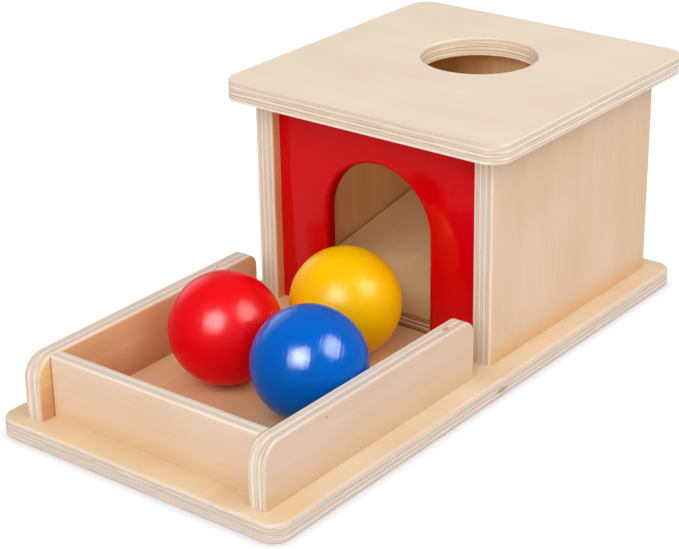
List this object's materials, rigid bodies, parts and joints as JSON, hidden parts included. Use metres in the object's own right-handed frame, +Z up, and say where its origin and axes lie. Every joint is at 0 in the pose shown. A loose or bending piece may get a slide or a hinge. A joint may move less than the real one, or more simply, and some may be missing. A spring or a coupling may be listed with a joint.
{
  "type": "object permanence box",
  "caption": "Wooden baby toy: a plywood box with a ball hole in its top, an arched doorway in its red front, a ramp inside and a railed tray that catches the painted balls.",
  "frame": {"origin": "middle of the base board's underside, on the surface that the toy stands on", "axes": "+Z up; +Y along the base board from the tray to the box; +X to the right, seen from the tray"},
  "size_m": [0.153, 0.305, 0.117],
  "materials": {
    "plywood": "pale plywood, sanded and clear satin varnished",
    "ramp_plywood": "plywood, sanded",
    "red_lacquer": "plywood, red gloss lacquer",
    "bare_beech": "bare beech",
    "zinc_screw": "bright zinc plate",
    "red_paint": "wood, red gloss paint",
    "yellow_paint": "wood, yellow gloss paint",
    "blue_paint": "wood, blue gloss paint"
  },
  "bodies": {
    "box": {"base_board": "plywood", "left_wall": "plywood", "right_wall": "plywood", "front_panel": "red_lacquer", "back_panel": "plywood", "top_board": "plywood", "ramp": "ramp_plywood", "ramp_bearer": "bare_beech", "left_rail": "plywood", "right_rail": "plywood", "front_rail": "plywood", "wall_screws": "zinc_screw", "rail_screws": "zinc_screw", "front_rail_screws": "zinc_screw", "top_dowels": "bare_beech"},
    "red_ball": {"red_ball": "red_paint"},
    "yellow_ball": {"yellow_ball": "yellow_paint"},
    "blue_ball": {"blue_ball": "blue_paint"}
  },
  "joints": [
    {"name": "red_ball_roll", "type": "slide", "parent": "box", "child": "red_ball", "axis": [0, 1, 0], "range_m": [-0.035, 0.004]},
    {"name": "yellow_ball_roll", "type": "slide", "parent": "box", "child": "yellow_ball", "axis": [0, 1, 0], "range_m": [-0.0035, 0.019]},
    {"name": "blue_ball_roll", "type": "slide", "parent": "box", "child": "blue_ball", "axis": [0, 1, 0], "range_m": [-0.03, 0.0085]}
  ]
}
